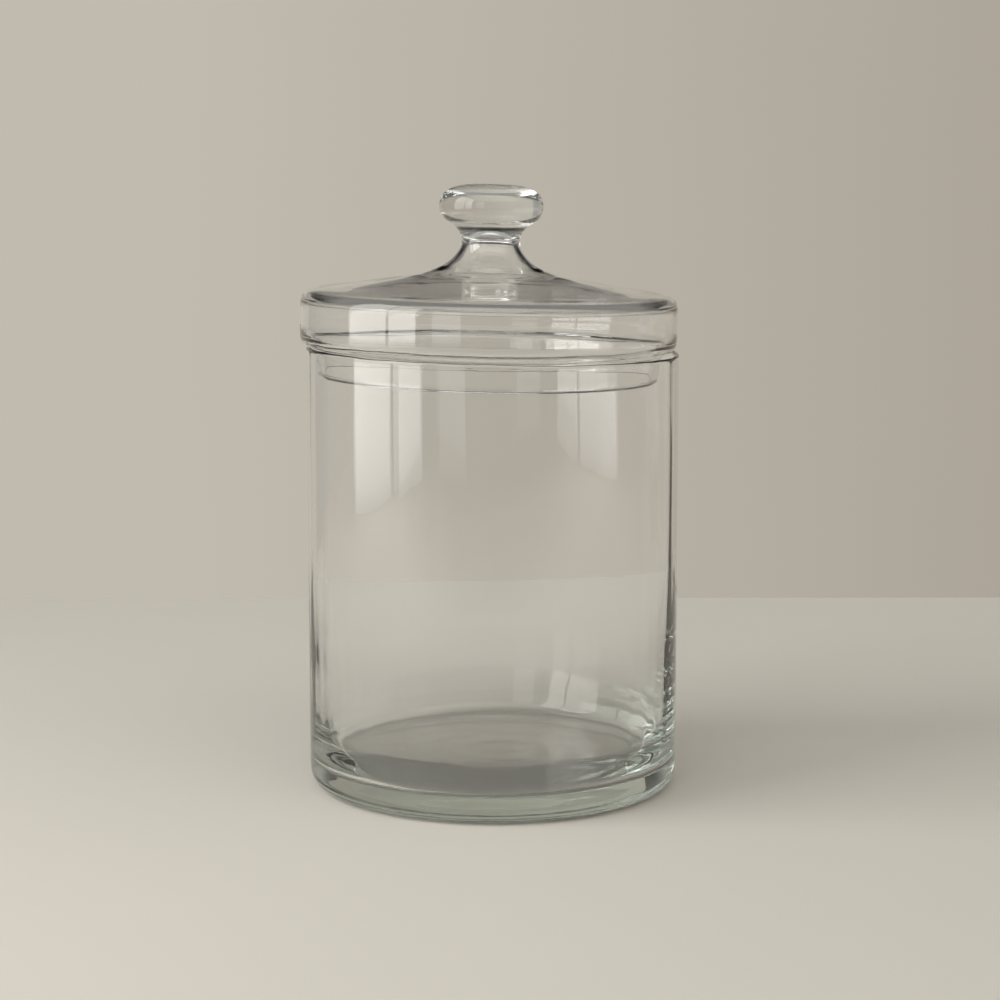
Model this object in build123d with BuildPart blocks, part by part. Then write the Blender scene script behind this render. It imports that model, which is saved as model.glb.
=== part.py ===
import os
from math import cos, radians, sin

from build123d import *

# Lidded glass canister: a straight jar and a hollow blown lid with a solid mushroom knob.
# Millimetres, +Z up, origin on the jar's axis at the flat ring that it stands on.

# jar
jar_radius = 75.0       # outside of the straight wall
jar_height = 177.6      # height of the rim on the jar's axis
rim_slope = 1.3         # degrees: the rim was cut a little low on the +X side
wall = 1.2              # the thin middle of the wall
rim_wall = 1.5          # the wall is a little thicker at the fire-polished rim
rim_depth = 42.0        # how far below the rim the wall has thinned out again
floor_thickness = 9.5
floor_radius = 61.0     # flat part of the inside floor
heel_radius = 7.0       # rounding between the underside and the wall
kick_radius = 57.0      # the underside is hollowed a little inside this radius
kick_depth = 0.5

# lid, measured from the plane of the jar's rim and from the lid's own axis
lid_offset = -1.8       # the loose lid sits to one side of the mouth
seat_gap = 0.35         # between the rim and the lid's shoulder
skirt_depth = 11.4      # how far the plug hangs inside the mouth
skirt_bottom_radius = 68.2
skirt_top_radius = 69.8
band_radius = 76.1      # the outside band stands a little proud of the jar
band_top = 18.5         # where the band turns over into the dome
dome_edge = 70.9        # radius and height at which the dome begins
dome_edge_height = 23.4
shell = 1.6             # wall of the blown shell
neck_radius = 11.7
neck_height = 43.2
neck_hole = 6.8         # the hollow runs up the neck
hole_top = 50.6         # and ends under the solid knob
knob_radius = 21.0
knob_height = 57.2      # height of the knob's widest circle
knob_top = 66.3


# ---- jar ----
# The wall thickens smoothly downwards into the floor.
over_cut = 8.0          # the blank is made taller and then cut along the sloping rim
blank_height = jar_height + over_cut
wall_inner = jar_radius - wall
rim_inner = jar_radius - rim_wall
thin_from = 92.0        # the wall is at its thinnest between here and the rim's swelling
thin_to = jar_height - rim_depth

with BuildPart() as jar:
    with BuildSketch(Plane.XZ):
        with BuildLine():
            Polyline((0, kick_depth), (0, floor_thickness), (floor_radius, floor_thickness))
            Spline(
                (floor_radius, floor_thickness),
                (jar_radius - 7.6, 15.5),
                (jar_radius - 5.8, 21.0),
                (jar_radius - 4.2, 30.0),
                tangents=((1, 0), (0.1, 1)),
            )
            Spline(
                (jar_radius - 4.2, 30.0),
                (jar_radius - 3.1, 50.0),
                (wall_inner, thin_from),
                tangents=((0.1, 1), (0, 1)),
            )
            Line((wall_inner, thin_from), (wall_inner, thin_to))
            Spline(
                (wall_inner, thin_to),
                (rim_inner, jar_height - rim_depth / 3),
                tangents=((0, 1), (0, 1)),
            )
            Polyline(
                (rim_inner, jar_height - rim_depth / 3),
                (rim_inner, blank_height),
                (jar_radius, blank_height),
                (jar_radius, heel_radius),
            )
            RadiusArc((jar_radius, heel_radius), (jar_radius - heel_radius, 0), heel_radius)
            Line((jar_radius - heel_radius, 0), (kick_radius, 0))
            Spline((kick_radius, 0), (0, kick_depth), tangents=((-1, 0.01), (-1, 0)))
        make_face()
    revolve(axis=Axis.Z)
    rim_plane = Plane(
        origin=(0, 0, jar_height),
        x_dir=(cos(radians(rim_slope)), 0, -sin(radians(rim_slope))),
        z_dir=(sin(radians(rim_slope)), 0, cos(radians(rim_slope))),
    )
    split(bisect_by=rim_plane, keep=Keep.BOTTOM)
    fillet(jar.faces().sort_by(Axis.Z)[-1].edges(), radius=0.4 * rim_wall)

jar.part.label = "jar"

# ---- lid ----
# It follows the slope of the rim, so it is drawn on the rim's own plane, moved aside.
lid_plane = Plane(
    origin=(lid_offset, 0, jar_height - lid_offset * sin(radians(rim_slope))),
    x_dir=rim_plane.x_dir,
    z_dir=rim_plane.z_dir,
)
lid_section = Plane(origin=lid_plane.origin, x_dir=lid_plane.x_dir, z_dir=-lid_plane.y_dir)
seat_inner_radius = skirt_top_radius + 1.5
seat_radius = band_radius - 2.6
band_bottom = 4.6
band_inner = band_radius - shell
edge_inner = dome_edge - 0.4
flare_inner = 27.3      # where the flare under the neck runs into the dome

with BuildPart() as lid:
    with BuildSketch(lid_section):
        with BuildLine():
            # outside, from the bottom of the skirt up to the knob
            Line((skirt_bottom_radius, -skirt_depth), (skirt_top_radius, -1.8))
            Spline(
                (skirt_top_radius, -1.8),
                (seat_inner_radius, seat_gap),
                tangents=((0.17, 1), (1, 0)),
            )
            Line((seat_inner_radius, seat_gap), (seat_radius, seat_gap))
            Spline((seat_radius, seat_gap), (band_radius, band_bottom), tangents=((1, 0), (0, 1)))
            Line((band_radius, band_bottom), (band_radius, band_top))
            Spline(
                (band_radius, band_top),
                (dome_edge, dome_edge_height),
                tangents=((0, 1), (-1, 0.12)),
            )
            Spline(
                (dome_edge, dome_edge_height),
                (48.0, 26.4),
                (27.8, 30.1),
                (20.4, 32.5),
                (15.2, 36.1),
                (neck_radius, neck_height),
                tangents=((-1, 0.12), (0, 1)),
            )
            Spline(
                (neck_radius, neck_height),
                (14.3, 48.9),
                (knob_radius, knob_height),
                tangents=((0, 1), (0, 1)),
            )
            Spline(
                (knob_radius, knob_height),
                (14.0, 65.0),
                (0, knob_top),
                tangents=((0, 1), (-1, 0)),
            )
            # the hollow, from its end under the knob down through the neck to the skirt
            Line((0, knob_top), (0, hole_top))
            Spline(
                (0, hole_top),
                (neck_hole, neck_height + 1.5),
                tangents=((1, 0), (0, -1)),
            )
            Line((neck_hole, neck_height + 1.5), (neck_hole, neck_height))
            Spline(
                (neck_hole, neck_height),
                (8.4, 37.8),
                (13.2, 34.2),
                (20.0, 31.0),
                (flare_inner, 30.1 - shell),
                tangents=((0, -1), (1, -0.2)),
            )
            Spline(
                (flare_inner, 30.1 - shell),
                (48.0, 26.4 - shell),
                (edge_inner, dome_edge_height - shell),
                tangents=((1, -0.2), (1, -0.12)),
            )
            Spline(
                (edge_inner, dome_edge_height - shell),
                (band_inner, band_top - 1),
                tangents=((1, -0.12), (0, -1)),
            )
            Line((band_inner, band_top - 1), (band_inner, band_bottom + 1))
            Spline(
                (band_inner, band_bottom + 1),
                (seat_inner_radius, seat_gap + shell),
                (skirt_top_radius - shell, -1.8),
                tangents=((0, -1), (-0.17, -1)),
            )
            Polyline(
                (skirt_top_radius - shell, -1.8),
                (skirt_bottom_radius - shell, -skirt_depth),
                (skirt_bottom_radius, -skirt_depth),
            )
        make_face()
    revolve(axis=Axis(lid_plane.origin, lid_plane.z_dir))
    fillet(lid.edges().filter_by(GeomType.CIRCLE).sort_by(Axis.Z)[:2], radius=0.4 * shell)

lid.part.label = "lid"

os.makedirs("parts", exist_ok=True)
export_step(jar.part, "parts/jar.step")
export_step(lid.part, "parts/lid.step")
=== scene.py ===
from math import cos, pi, radians, sin

import bpy
import numpy as np
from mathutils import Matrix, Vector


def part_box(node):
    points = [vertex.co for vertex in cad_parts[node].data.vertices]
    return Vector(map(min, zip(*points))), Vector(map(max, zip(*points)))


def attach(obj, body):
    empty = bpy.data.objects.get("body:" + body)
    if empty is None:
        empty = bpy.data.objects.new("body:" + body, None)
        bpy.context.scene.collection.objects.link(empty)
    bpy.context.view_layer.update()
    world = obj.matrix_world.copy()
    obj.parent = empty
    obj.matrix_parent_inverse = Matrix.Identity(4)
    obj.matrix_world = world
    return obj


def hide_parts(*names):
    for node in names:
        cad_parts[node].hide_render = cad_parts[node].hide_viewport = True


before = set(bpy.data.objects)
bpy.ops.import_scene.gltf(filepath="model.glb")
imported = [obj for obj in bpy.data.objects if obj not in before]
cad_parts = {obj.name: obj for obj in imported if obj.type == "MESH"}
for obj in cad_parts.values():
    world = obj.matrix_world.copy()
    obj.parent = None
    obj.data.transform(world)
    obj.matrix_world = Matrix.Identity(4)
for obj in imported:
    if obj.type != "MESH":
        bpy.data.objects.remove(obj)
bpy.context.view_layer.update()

mm = 0.001
scene = bpy.context.scene

# Everything is placed from the two CAD boxes. The profiles below are in millimetres.
jarLow, jarHigh = [np.array(corner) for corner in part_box("jar")]
lidLow, lidHigh = [np.array(corner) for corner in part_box("lid")]
jarRadius = (jarHigh[0] - jarLow[0]) / 2 / mm
lidRadius = (lidHigh[1] - lidLow[1]) / 2 / mm
rimSlope = 1.3            # degrees, the rim is low on the +X side
rimCrestIn = 1.5          # the rim's highest point lies this far in from the outside
rimHeight = jarHigh[2] / mm - (jarRadius - rimCrestIn) * sin(radians(rimSlope))
lidAxisX = -1.8           # the loose lid lies a little to the left
print("stage: frame loaded, rim at", round(rimHeight, 1), "mm")


# A cubic B-spline: every place on it is the average of four neighbouring points with the weights
# (1-t)^3, 3t^3-6t^2+4, -3t^3+3t^2+3t+1 and t^3, all over 6. Its ends lie on the first and last point.
def curveThrough(points, step):
    p = np.array(points, float)
    p = np.vstack([2 * p[0] - p[1], p, 2 * p[-1] - p[-2]])
    stretches = []
    for i in range(len(p) - 3):
        count = max(3, int(np.ceil(np.linalg.norm(p[i + 2] - p[i + 1]) / step)))
        t = np.arange(count)[:, None] / count
        weights = [(1 - t) ** 3, 3 * t**3 - 6 * t**2 + 4, -3 * t**3 + 3 * t**2 + 3 * t + 1, t**3]
        stretches.append(np.hstack(weights) / 6 @ p[i:i + 4])
    return np.vstack(stretches + [p[-2][None]])


# A turned body: the profile (radius, height) is carried round the axis. shape(r, z, a, along) moves the
# points: a is the angle, along runs from 0 to 1 over the profile, and it gives x, y, z in millimetres.
# Both ends of the profile lie on the axis, where a fan of triangles closes the body.
def turned(name, profile, segments, shape):
    angle = np.linspace(0, 2 * pi, segments, endpoint=False)
    rings = profile[1:-1]
    n = len(rings)
    r, a = np.meshgrid(rings[:, 0], angle, indexing="ij")
    z = np.repeat(rings[:, 1][:, None], segments, axis=1)
    along = np.repeat(np.linspace(0, 1, n)[:, None], segments, axis=1)
    body = np.stack(shape(r, z, a, along), axis=-1).reshape(-1, 3)
    zero = np.zeros(1)
    first = np.stack(shape(zero, profile[:1, 1], zero, zero), axis=-1)
    last = np.stack(shape(zero, profile[-1:, 1], zero, zero + 1), axis=-1)
    verts = np.vstack([body, first, last]) * mm
    i, j = np.meshgrid(np.arange(n - 1), np.arange(segments), indexing="ij")
    k = (j + 1) % segments
    below, above = i * segments, (i + 1) * segments
    quads = np.stack([below + j, below + k, above + k, above + j], -1).reshape(-1, 4)
    j = np.arange(segments)
    k = (j + 1) % segments
    firstPole, lastRing = n * segments, (n - 1) * segments
    start = np.stack([np.full(segments, firstPole), k, j], -1)
    end = np.stack([np.full(segments, firstPole + 1), lastRing + j, lastRing + k], -1)
    return meshObject(name, verts, quads, np.vstack([start, end]))


def meshObject(name, verts, quads, triangles):
    mesh = bpy.data.meshes.new(name)
    loops = np.concatenate([quads.ravel(), triangles.ravel()])
    sizes = np.concatenate([np.full(len(quads), 4), np.full(len(triangles), 3)])
    mesh.vertices.add(len(verts))
    mesh.vertices.foreach_set("co", verts.ravel())
    mesh.loops.add(len(loops))
    mesh.loops.foreach_set("vertex_index", loops.astype(np.int32))
    mesh.polygons.add(len(sizes))
    starts = np.concatenate([[0], np.cumsum(sizes)[:-1]])
    mesh.polygons.foreach_set("loop_start", starts.astype(np.int32))
    mesh.update(calc_edges=True)
    mesh.validate()
    mesh.polygons.foreach_set("use_smooth", np.ones(len(mesh.polygons), bool))
    piece = bpy.data.objects.new(name, mesh)
    scene.collection.objects.link(piece)
    return piece


# 0 below low, 1 above high, and 3t^2-2t^3 between them
def ease(x, low, high):
    t = np.clip((x - low) / (high - low), 0, 1)
    return t * t * (3 - 2 * t)


# The sum of share * sin(count * angle + phase) over the waves: hand work's unevenness round the axis
def unevenRound(angle, waves):
    return sum(share * np.sin(count * angle + phase) for count, share, phase in waves)


jarValues = {
    "wall": 1.15,             # thin middle of the wall
    "rimWall": 1.5,           # the fire-polished rim is a little thicker
    "floor": 9.5,
    "kick": 0.12,             # hollow of the underside
    "segments": 300,
    "step": 1.9,              # spacing of the profile's points
    "ovalness": 0.12,         # how far hand work leaves the circle
    "ovalTurn": 0.7,
    "wallDrift": 0.5,         # the inside stands off-centre low down, so the right wall is thicker
    "ripple": 0.07,           # rings in the floor: height, spacing, middle radius, spread and centre
    "rippleSpacing": 2.9,
    "rippleRadius": 16,
    "rippleSpread": 13,
    "rippleX": 4,
    "rippleY": -3,
    "streak": 0.035,          # upright thick and thin stripes in the wall
    "streakWaves": ((9, 1, 0.4), (17, 0.8, 2.0), (31, 0.6, 1.2), (53, 0.4, 3)),
    "rimWave": 0.10,          # unevenness of the fire-polished rim
    "rimWaves": ((7, 1, 1.0), (13, 0.7, 2.2), (23, 0.5, 0), (41, 0.3, 4)),
    "slopeFrom": 95,          # the rim's slope fades in above this height
    "ior": 1.52,
    "tint": (0.40, 0.51, 0.43, 1),
    "tintDensity": 6.5,       # how fast thick glass darkens to the tint
    "bump": 0.08,             # how strongly the streaks bend the light
}


# Outside from the middle of the underside up to the rim, then down the inside to the middle of the floor
def jarProfile(v):
    side, rim, k = jarRadius, rimHeight, v["kick"]
    outside = [
        (0, k), (12, k), (21, k), (29, k * 0.88), (37, k * 0.55), (44, k * 0.2), (50, k * 0.03),
        (56, 0), (62, 0), (67, 0), (70.5, 0.5), (73.6, 2.4), (side, 5.6), (side, 11), (side, 20),
        (side, 40), (side, 65), (side, 90), (side, 115), (side, 140), (side, 158), (side, 168),
        (side, rim - 3.6), (side, rim - 1.6), (side - 0.05, rim - 0.45), (side - 0.4, rim + 0.05),
    ]
    thin, lip, f = side - v["wall"], side - v["rimWall"], v["floor"]
    inside = [
        (lip + 0.4, rim + 0.05), (lip + 0.05, rim - 0.45), (lip, rim - 1.6), (lip, rim - 4),
        (lip, rim - 12), (lip, rim - 22), (thin, rim - 42), (thin, 118), (thin, 98), (thin - 0.2, 80),
        (side - 2.0, 64), (side - 3.0, 52), (side - 3.6, 40), (side - 4.2, 30), (side - 4.9, 25),
        (side - 5.9, 20.5), (side - 7.2, 16.6), (side - 8.0, 13.4), (side - 8.9, 11.2),
        (side - 10.6, f + 0.25), (side - 13, f), (side - 16, f), (side - 21, f), (46, f), (34, f),
        (22, f), (10, f), (0, f),
    ]
    return curveThrough(outside + inside, v["step"])


def makeJar(v):
    def shape(r, z, a, along):
        inner = ease(along, 0.5, 0.52)          # 0 on the outside, 1 on the inside
        low = 1 - ease(z, 20, 110)
        oval = v["ovalness"] * (np.cos(2 * a + v["ovalTurn"]) - 1) * ease(z, 10, 60) * ease(r, 20, 60)
        onFloor = inner * (1 - ease(r, 50, 62)) * (1 - ease(z, 14, 20))
        fromRings = np.hypot(r * np.cos(a) - v["rippleX"], r * np.sin(a) - v["rippleY"])
        envelope = np.exp(-((fromRings - v["rippleRadius"]) / v["rippleSpread"]) ** 2)
        ripple = v["ripple"] * np.cos(fromRings / v["rippleSpacing"]) * envelope
        r = r + v["streak"] * unevenRound(a, v["streakWaves"]) * inner * ease(z, 14, 30) * ease(r, 60, 66)
        x = (r + oval) * np.cos(a) - v["wallDrift"] * inner * low * ease(r, 10, 60)
        y = (r + oval) * np.sin(a)
        nearRim = ease(z, rimHeight - 9, rimHeight - 1)
        slope = np.tan(radians(rimSlope)) * r * np.cos(a) * ease(z, v["slopeFrom"], rimHeight)
        up = z + nearRim * v["rimWave"] * unevenRound(a, v["rimWaves"]) + ripple * onFloor - slope
        return x, y, up
    return turned("jar_glass_body", jarProfile(v), v["segments"], shape)


lidValues = {
    "segments": 300,
    "step": 1.5,
    "inset": 0.3,             # the band stays this far inside the CAD box
    "seat": 0.35,             # the shoulder's height over the rim
    "skirt": 11.4,            # how deep the plug hangs
    "band": 1.5,              # wall of the outer band
    "dome": 1.6,
    "neckHole": 9.2,          # the blown hollow narrows here
    "holeTop": 50.6,          # and ends under the solid knob
    "seatWave": 0.09,         # unevenness of the shoulder
    "seatWaves": ((6, 1, 2.0), (11, 0.6, 0.5), (19, 0.5, 3), (37, 0.3, 0)),
    "ior": 1.52,
    "tint": (0.64, 0.69, 0.65, 1),
    "tintDensity": 5.0,
    "bump": 0.05,
}


# The hollow from under the knob down to the plug, then the outside up to the top of the knob
def lidProfile(v):
    side = lidRadius - v["inset"]
    wall, dome, n, h = v["band"], v["dome"], v["neckHole"], v["holeTop"]
    inner = side - wall
    inside = [
        (0, h), (2.8, h), (5.2, h - 0.7), (n - 2.5, h - 2.6), (n - 1.0, 45.6), (n, 43.0), (n + 0.6, 40.6),
        (n + 2.0, 37.9), (n + 3.7, 35.8), (14.9, 34.0), (17.4, 32.2), (20.4, 30.8), (23.6, 29.7),
        (27.3, 30.1 - dome), (37.6, 28.2 - dome), (47.7, 26.4 - dome), (57.7, 24.8 - dome),
        (65.2, 23.9 - dome), (70.4, 23.1 - dome), (inner - 0.7, 19.8), (inner, 17.2), (inner, 13),
        (inner, 9), (inner, 5.6), (inner - 0.8, 3.1), (inner - 2.8, 2.1), (70.1 - wall, 0.6),
        (69.7 - wall, -1.6), (69.2 - wall, -4.4), (68.6 - wall, -7.5), (68.2 - wall, -9.8),
        (68.4 - wall, -10.9),
    ]
    outside = [
        (68.9 - wall / 2, -v["skirt"]), (68.2, -10.7), (68.3, -9.6), (68.8, -7), (69.3, -4), (69.8, -1.9),
        (70.4, -0.4), (71.7, v["seat"]), (73.4, v["seat"] + 0.1), (75.2, 1.6), (side, 4.4), (side, 8),
        (side, 12), (side, 15), (side - 0.1, 18.5), (side - 1.0, 21.9), (side - 4.4, 23.3), (65.3, 23.9),
        (57.9, 24.8), (47.9, 26.4), (37.9, 28.1), (27.8, 30.0), (20.4, 32.3), (15.4, 35.9), (12.7, 39.6),
        (11.6, 43.2), (12.2, 46.3), (14.2, 49.0), (17.7, 50.9), (20.0, 53.1), (21.1, 56.6), (20.6, 60.4),
        (18.2, 63.3), (14, 65.2), (8, 66.1), (3, 66.1), (0, 66.1),
    ]
    return curveThrough(inside + outside, v["step"])


def makeLid(v):
    c, s = cos(radians(rimSlope)), sin(radians(rimSlope))
    seatZ = rimHeight - lidAxisX * s

    def shape(r, z, a, along):
        onSeat = ease(z, -6, -1) * (1 - ease(z, 3, 9)) * ease(r, 60, 66)
        z = z + v["seatWave"] * onSeat * (1 + unevenRound(a, v["seatWaves"]))
        x, y = r * np.cos(a), r * np.sin(a)
        return lidAxisX + c * x + s * z, y, seatZ - s * x + c * z     # tipped with the rim
    return turned("lid_glass_body", lidProfile(v), v["segments"], shape)


def newGroup(name, inputs, output):
    group = bpy.data.node_groups.new(name, "ShaderNodeTree")
    for label, kind, value in inputs:
        socket = group.interface.new_socket(label, in_out="INPUT", socket_type=kind)
        socket.default_value = value
    group.interface.new_socket(output[0], in_out="OUTPUT", socket_type=output[1])
    given = group.nodes.new("NodeGroupInput")
    result = group.nodes.new("NodeGroupOutput")
    return group, group.nodes, group.links, given, result


# Upright streaks in blown glass: a noise drawn out along the height
def makeStreakGroup():
    size = ("Size", "NodeSocketFloat", 55)
    group, nodes, links, given, result = newGroup("glassStreaks", [size], ("Height", "NodeSocketFloat"))
    place = nodes.new("ShaderNodeTexCoord")
    stretch = nodes.new("ShaderNodeMapping")
    stretch.inputs["Scale"].default_value = (1, 1, 0.1)
    noise = nodes.new("ShaderNodeTexNoise")
    noise.inputs["Detail"].default_value = 2
    links.new(place.outputs["Object"], stretch.inputs["Vector"])
    links.new(stretch.outputs["Vector"], noise.inputs["Vector"])
    links.new(given.outputs["Size"], noise.inputs["Scale"])
    links.new(noise.outputs["Fac"], result.inputs["Height"])
    return group


# A colour that is a little lighter and darker in cloudy patches
def makeMottleGroup():
    inputs = [("Darker", "NodeSocketColor", (0, 0, 0, 1)), ("Lighter", "NodeSocketColor", (1, 1, 1, 1)),
              ("Size", "NodeSocketFloat", 5)]
    group, nodes, links, given, result = newGroup("mottledColor", inputs, ("Color", "NodeSocketColor"))
    place = nodes.new("ShaderNodeTexCoord")
    noise = nodes.new("ShaderNodeTexNoise")
    noise.inputs["Detail"].default_value = 6
    mix = nodes.new("ShaderNodeMix")
    mix.data_type = "RGBA"
    links.new(place.outputs["Object"], noise.inputs["Vector"])
    links.new(given.outputs["Size"], noise.inputs["Scale"])
    links.new(noise.outputs["Fac"], mix.inputs["Factor"])
    links.new(given.outputs["Darker"], mix.inputs["A"])
    links.new(given.outputs["Lighter"], mix.inputs["B"])
    links.new(mix.outputs["Result"], result.inputs["Color"])
    return group


streakGroup = makeStreakGroup()
mottleGroup = makeMottleGroup()


def newMaterial(name):
    material = bpy.data.materials.new(name)
    material.use_nodes = True
    return material, material.node_tree.nodes, material.node_tree.links


def rgba(color, times=1.0):
    return [c * times for c in color] + [1]


def clearGlass(name, v):
    material, nodes, links = newMaterial(name)
    shader = nodes["Principled BSDF"]
    shader.inputs["Base Color"].default_value = (1, 1, 1, 1)
    shader.inputs["Transmission Weight"].default_value = 1
    shader.inputs["Roughness"].default_value = 0
    shader.inputs["IOR"].default_value = v["ior"]
    streaks = nodes.new("ShaderNodeGroup")
    streaks.node_tree = streakGroup
    bump = nodes.new("ShaderNodeBump")
    bump.inputs["Strength"].default_value = v["bump"]
    bump.inputs["Distance"].default_value = mm
    links.new(streaks.outputs["Height"], bump.inputs["Height"])
    links.new(bump.outputs["Normal"], shader.inputs["Normal"])
    volume = nodes.new("ShaderNodeVolumeAbsorption")
    volume.inputs["Color"].default_value = v["tint"]
    volume.inputs["Density"].default_value = v["tintDensity"]
    links.new(volume.outputs["Volume"], nodes["Material Output"].inputs["Volume"])
    return material


studio = {
    "tableFront": -0.85,
    "tableBack": 0.41,
    "tableHalf": 3.0,
    "floorColor": (0.685, 0.66, 0.605),
    # painted shade: the dark colour the near table fades to, standing in for the room's shade
    "floorPaintedShade": (0.10, 0.097, 0.09),
    "floorPatches": 9,
    "floorSpread": 0.015,
    "paintedShadeFrom": -0.34,         # painted shade: the table's colour darkens towards the dim room in front
    "paintedShadeTo": -0.80,
    "wallAt": 1.0,             # the backdrop hangs well behind the table
    "wallLeft": -0.90,
    "wallRight": 2.9,
    "wallLow": -0.4,
    "wallTop": 0.378,
    "wallPaintedLight": (0.533, 0.497, 0.429),      # painted window light: the glowing backdrop is lighter towards the window
    # painted shade: the glowing backdrop is dimmer away from the window
    "wallPaintedShade": (0.415, 0.375, 0.317),
    "wallShadeFrom": -0.25,
    "wallShadeTo": 0.42,
    "wallPatches": 5,
    "wallSpread": 0.012,
    "windowAt": -0.84,
    "windowNear": -0.90,
    "windowFar": -0.02,
    "windowTop": 1.1,
    "mullionAt": -0.47,
    "mullionWidth": 0.03,
    "windowColor": (1, 0.985, 0.95),
    "windowGlow": 3.3,
    "windowTopGlow": 4.6,
    # height in metres and glow: the daylight is weaker near the sill
    "windowLevels": ((0.0, 1.0), (0.02, 1.9), (0.045, 2.4), (0.10, 3.3), (0.35, 3.4), (0.6, 4.6)),
    "sideWindowAt": -1.15,
    "sideWindowLeft": -0.75,
    "sideWindowRight": -0.33,
    "sideWindowTop": 0.9,
    "sideWindowGlow": 1.1,
    "behindColor": (1, 0.97, 0.90),
    # degrees above the horizon and brightness: it falls off over the backdrop and rises again
    "behindLevels": ((0, 0.34), (8, 0.34), (12, 0.16), (17, 0.02), (22, 0.02), (34, 0.19),
                     (55, 0.17), (75, 0.4)),
    "sideColor": (0.40, 0.39, 0.36),
    "roomColor": (0.11, 0.105, 0.095),        # the room in front, up to eye height
    "ceilingColor": (1.5, 1.46, 1.38),        # the ceiling in front
    "ceilingFrom": 25,                        # degrees above the horizon
    "ceilingTo": 40,
    # the direction's part along Y where front, sides and back run into one another
    "frontTo": -0.45,
    "sidesFrom": 0.0,
    "sidesTo": 0.40,
    "behindFrom": 0.62,
}


def board(name, corners, material):
    piece = meshObject(name, np.array(corners, float), np.array([[0, 1, 2, 3]]), np.zeros((0, 3), int))
    piece.data.materials.append(material)


def mottled(nodes, color, size, spread):
    patches = nodes.new("ShaderNodeGroup")
    patches.node_tree = mottleGroup
    patches.inputs["Darker"].default_value = rgba(color, 1 - spread)
    patches.inputs["Lighter"].default_value = rgba(color, 1 + spread)
    patches.inputs["Size"].default_value = size
    return patches.outputs["Color"]


# A mix of two colours by one axis of the object's place
def colorAlong(nodes, links, axis, low, high, smooth=False):
    place = nodes.new("ShaderNodeTexCoord")
    parts = nodes.new("ShaderNodeSeparateXYZ")
    across = nodes.new("ShaderNodeMapRange")
    if smooth:
        across.interpolation_type = "SMOOTHSTEP"
    across.inputs["From Min"].default_value = low
    across.inputs["From Max"].default_value = high
    mix = nodes.new("ShaderNodeMix")
    mix.data_type = "RGBA"
    links.new(place.outputs["Object"], parts.inputs["Vector"])
    links.new(parts.outputs[axis], across.inputs["Value"])
    links.new(across.outputs["Result"], mix.inputs["Factor"])
    return mix


def floorMaterial(v):
    material, nodes, links = newMaterial("pale_floor_painted_shade")
    shader = nodes["Principled BSDF"]
    # painted shade: the floor colour fades to a dark colour towards the room in front
    mix = colorAlong(nodes, links, "Y", v["paintedShadeTo"], v["paintedShadeFrom"], smooth=True)
    mix.inputs["A"].default_value = rgba(v["floorPaintedShade"])
    links.new(mottled(nodes, v["floorColor"], v["floorPatches"], v["floorSpread"]), mix.inputs["B"])
    links.new(mix.outputs["Result"], shader.inputs["Base Color"])
    shader.inputs["Roughness"].default_value = 0.85
    shader.inputs["Specular IOR Level"].default_value = 0.2
    return material


# Only the front of the board shows, so nothing hides the object from behind
def glowSeenFromFront(nodes, links, shader):
    geometry = nodes.new("ShaderNodeNewGeometry")
    clear = nodes.new("ShaderNodeBsdfTransparent")
    choice = nodes.new("ShaderNodeMixShader")
    links.new(geometry.outputs["Backfacing"], choice.inputs["Fac"])
    links.new(shader.outputs[0], choice.inputs[1])
    links.new(clear.outputs["BSDF"], choice.inputs[2])
    links.new(choice.outputs["Shader"], nodes["Material Output"].inputs["Surface"])


# Painted light: the backdrop glows by itself instead of being lit, lighter towards the window and dimmer
# away from it
def wallMaterial(v):
    material, nodes, links = newMaterial("pale_wall_painted_light")
    shader = nodes["Principled BSDF"]
    shader.inputs["Base Color"].default_value = (0, 0, 0, 1)
    shader.inputs["Specular IOR Level"].default_value = 0
    mix = colorAlong(nodes, links, "X", v["wallShadeFrom"], v["wallShadeTo"])
    links.new(mottled(nodes, v["wallPaintedLight"], v["wallPatches"], v["wallSpread"]), mix.inputs["A"])
    links.new(mottled(nodes, v["wallPaintedShade"], v["wallPatches"], v["wallSpread"]), mix.inputs["B"])
    links.new(mix.outputs["Result"], shader.inputs["Emission Color"])
    shader.inputs["Emission Strength"].default_value = 1
    glowSeenFromFront(nodes, links, shader)
    return material


# A colour ramp with the given (position, colour) stops
def rampOf(nodes, steps):
    ramp = nodes.new("ShaderNodeValToRGB")
    stops = ramp.color_ramp.elements
    stops.remove(stops[1])
    for i, (position, color) in enumerate(steps):
        stop = stops[0] if i == 0 else stops.new(position)
        stop.position = position
        stop.color = color
    return ramp


def windowMaterial(name, v, glow):
    material, nodes, links = newMaterial(name)
    nodes.remove(nodes["Principled BSDF"])
    light = nodes.new("ShaderNodeEmission")
    place = nodes.new("ShaderNodeTexCoord")
    parts = nodes.new("ShaderNodeSeparateXYZ")
    top = v["windowTopGlow"]
    steps = [(height, rgba(v["windowColor"], level / top)) for height, level in v["windowLevels"]]
    ramp = rampOf(nodes, steps)
    links.new(place.outputs["Object"], parts.inputs["Vector"])
    links.new(parts.outputs["Z"], ramp.inputs["Fac"])
    links.new(ramp.outputs["Color"], light.inputs["Color"])
    light.inputs["Strength"].default_value = top * glow / v["windowGlow"]
    glowSeenFromFront(nodes, links, light)
    return material


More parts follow.
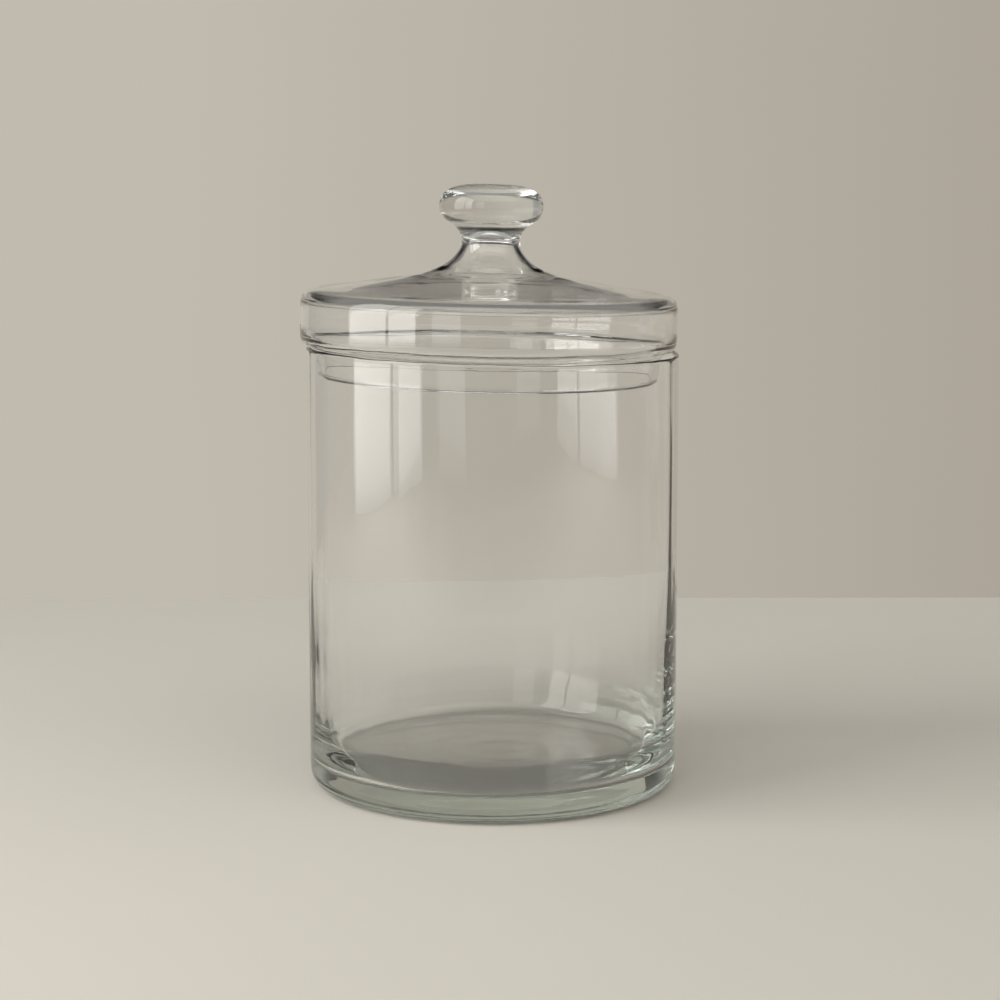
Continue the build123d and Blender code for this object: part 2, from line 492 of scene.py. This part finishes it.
# The world by direction: dark just over the backdrop, dim above it, a pale ceiling in front
def roomAround(v):
    world = bpy.data.worlds.new("room")
    world.use_nodes = True
    nodes, links = world.node_tree.nodes, world.node_tree.links
    place = nodes.new("ShaderNodeTexCoord")
    parts = nodes.new("ShaderNodeSeparateXYZ")
    links.new(place.outputs["Generated"], parts.inputs["Vector"])

    def rising(axis, low, high, below, above):
        ramp = nodes.new("ShaderNodeMapRange")
        ramp.interpolation_type = "SMOOTHSTEP"
        ramp.inputs["From Min"].default_value = low
        ramp.inputs["From Max"].default_value = high
        mix = nodes.new("ShaderNodeMix")
        mix.data_type = "RGBA"
        links.new(parts.outputs[axis], ramp.inputs["Value"])
        links.new(ramp.outputs["Result"], mix.inputs["Factor"])
        for socket, value in (("A", below), ("B", above)):
            if isinstance(value, tuple):
                mix.inputs[socket].default_value = rgba(value)
            else:
                links.new(value, mix.inputs[socket])
        return mix.outputs["Result"]

    steps = [(sin(radians(up)), rgba(v["behindColor"], level)) for up, level in v["behindLevels"]]
    fall = rampOf(nodes, steps)
    links.new(parts.outputs["Z"], fall.inputs["Fac"])
    ceilingFrom, ceilingTo = sin(radians(v["ceilingFrom"])), sin(radians(v["ceilingTo"]))
    front = rising("Z", ceilingFrom, ceilingTo, v["roomColor"], v["ceilingColor"])
    sides = rising("Y", v["sidesTo"], v["behindFrom"], v["sideColor"], fall.outputs["Color"])
    links.new(rising("Y", v["frontTo"], v["sidesFrom"], front, sides), nodes["Background"].inputs["Color"])
    return world


def makeStudio(v):
    half, near, back = v["tableHalf"], v["tableFront"], v["tableBack"]
    board("floor", [(-half, near, 0), (half, near, 0), (half, back, 0), (-half, back, 0)], floorMaterial(v))
    left, right, wall, low, top = v["wallLeft"], v["wallRight"], v["wallAt"], v["wallLow"], v["wallTop"]
    backdrop = [(left, wall, low), (right, wall, low), (right, wall, top), (left, wall, top)]
    board("backdrop", backdrop, wallMaterial(v))
    glow = windowMaterial("window_light", v, v["windowGlow"])
    x, top, half = v["windowAt"], v["windowTop"], v["mullionWidth"] / 2
    for name, y0, y1 in (("window_near", v["windowNear"], v["mullionAt"] - half),
                         ("window_far", v["mullionAt"] + half, v["windowFar"])):
        board(name, [(x, y0, 0), (x, y1, 0), (x, y1, top), (x, y0, top)], glow)
    dim = windowMaterial("side_window_light", v, v["sideWindowGlow"])
    y, left, right, top = v["sideWindowAt"], v["sideWindowLeft"], v["sideWindowRight"], v["sideWindowTop"]
    board("window_side", [(right, y, 0), (left, y, 0), (left, y, top), (right, y, top)], dim)
    scene.world = roomAround(v)


cameraValues = {
    "away": 1.0,
    "up": 0.2604,
    "tiltDown": 8.21,          # degrees
    "turnRight": 0.17,
    "lens": 89.5,
    "sensor": 36,
    "nearest": 0.01,
}


def makeCamera(v):
    data = bpy.data.cameras.new("camera")
    data.lens = v["lens"]
    data.sensor_width = v["sensor"]
    data.clip_start = v["nearest"]
    camera = bpy.data.objects.new("camera", data)
    camera.location = (0, -v["away"], v["up"])
    camera.rotation_euler = (radians(90 - v["tiltDown"]), 0, radians(-v["turnRight"]))
    scene.collection.objects.link(camera)
    scene.camera = camera


jar = makeJar(jarValues)
lid = makeLid(lidValues)
for piece, body in ((jar, "jar"), (lid, "lid")):
    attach(piece, body)
    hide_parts(body)
jar.data.materials.append(clearGlass("jar_clear_glass", jarValues))
lid.data.materials.append(clearGlass("lid_clear_glass", lidValues))
print("stage: glass made,", len(jar.data.polygons), "and", len(lid.data.polygons), "faces")

makeStudio(studio)
makeCamera(cameraValues)
print("stage: studio and camera made")

# Light has to get through many glass surfaces, with reflections between them
scene.view_settings.view_transform = "Standard"
scene.cycles.max_bounces = 32
scene.cycles.transmission_bounces = 28
scene.cycles.glossy_bounces = 16
scene.cycles.transparent_max_bounces = 16
scene.cycles.use_denoising = True
